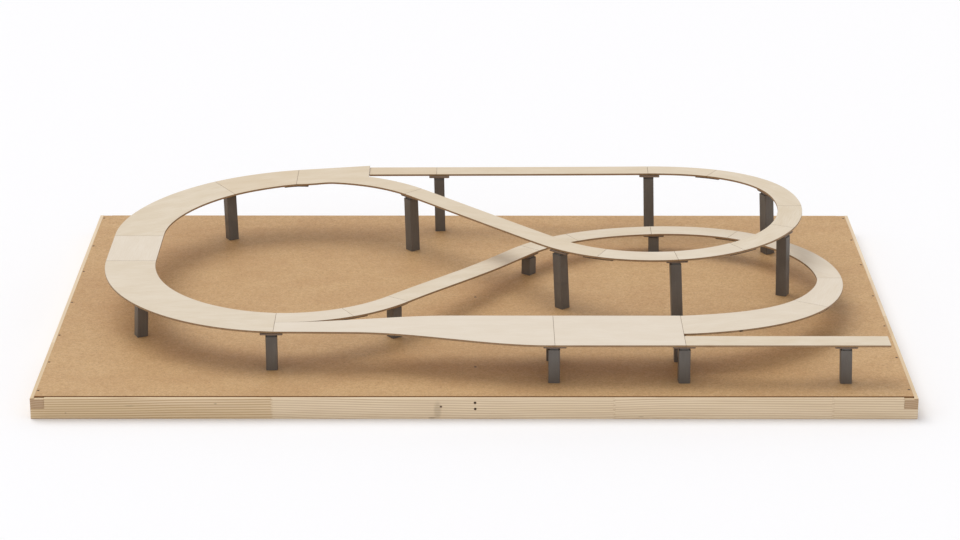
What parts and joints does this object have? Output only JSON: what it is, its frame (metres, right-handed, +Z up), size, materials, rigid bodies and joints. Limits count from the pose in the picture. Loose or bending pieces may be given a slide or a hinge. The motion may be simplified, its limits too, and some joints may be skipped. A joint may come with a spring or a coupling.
{
  "type": "model railway layout base",
  "caption": "Timber-framed baseboard with a raised plywood trackbed on square posts: left loop, figure of eight that crosses over itself, front platform and siding.",
  "frame": {"origin": "under the middle of the timber frame, on the surface that it stands on", "axes": "+X along the front rail to the right, +Y from the front edge to the back, +Z up"},
  "size_m": [2.1, 1.36, 0.236],
  "materials": {
    "frame_timber": "planed, untreated spruce, satin",
    "panel_board": "smooth hardboard, slight sheen",
    "trackbed_ply": "pale sanded birch plywood, matte",
    "post_finish": "dark grey-brown, matte",
    "splice_finish": "dark brown, matte"
  },
  "bodies": {
    "root": {"frame_rail_front": "frame_timber", "frame_rail_back": "frame_timber", "frame_rail_left": "frame_timber", "frame_rail_right": "frame_timber", "frame_cross_member": "frame_timber", "top_panel": "panel_board", "left_front_curve": "trackbed_ply", "left_straight": "trackbed_ply", "left_back_curve_1": "trackbed_ply", "left_back_curve_2": "trackbed_ply", "back_turnout": "trackbed_ply", "back_straight_left": "trackbed_ply", "back_straight_right": "trackbed_ply", "upper_curve_1": "trackbed_ply", "upper_curve_2": "trackbed_ply", "upper_curve_3": "trackbed_ply", "upper_curve_4": "trackbed_ply", "upper_curve_5": "trackbed_ply", "upper_curve_6": "trackbed_ply", "upper_diagonal": "trackbed_ply", "front_inner_branch": "trackbed_ply", "lower_bend": "trackbed_ply", "lower_diagonal": "trackbed_ply", "lower_curve_1": "trackbed_ply", "lower_curve_2": "trackbed_ply", "lower_curve_3": "trackbed_ply", "lower_curve_4": "trackbed_ply", "lower_curve_5": "trackbed_ply", "front_right_curve": "trackbed_ply", "front_flare": "trackbed_ply", "station_platform": "trackbed_ply", "siding": "trackbed_ply", "post_01": "post_finish", "post_02": "post_finish", "post_03": "post_finish", "post_04": "post_finish", "post_05": "post_finish", "post_06": "post_finish", "post_07": "post_finish", "post_08": "post_finish", "post_09": "post_finish", "post_10": "post_finish", "post_11": "post_finish", "post_12": "post_finish", "post_13": "post_finish", "post_14": "post_finish", "post_15": "post_finish", "post_16": "post_finish", "post_17": "post_finish", "post_18": "post_finish", "splice_1": "splice_finish", "splice_2": "splice_finish", "splice_3": "splice_finish", "splice_4": "splice_finish", "splice_5": "splice_finish", "splice_6": "splice_finish", "splice_7": "splice_finish", "splice_8": "splice_finish", "splice_9": "splice_finish"}
  },
  "joints": []
}
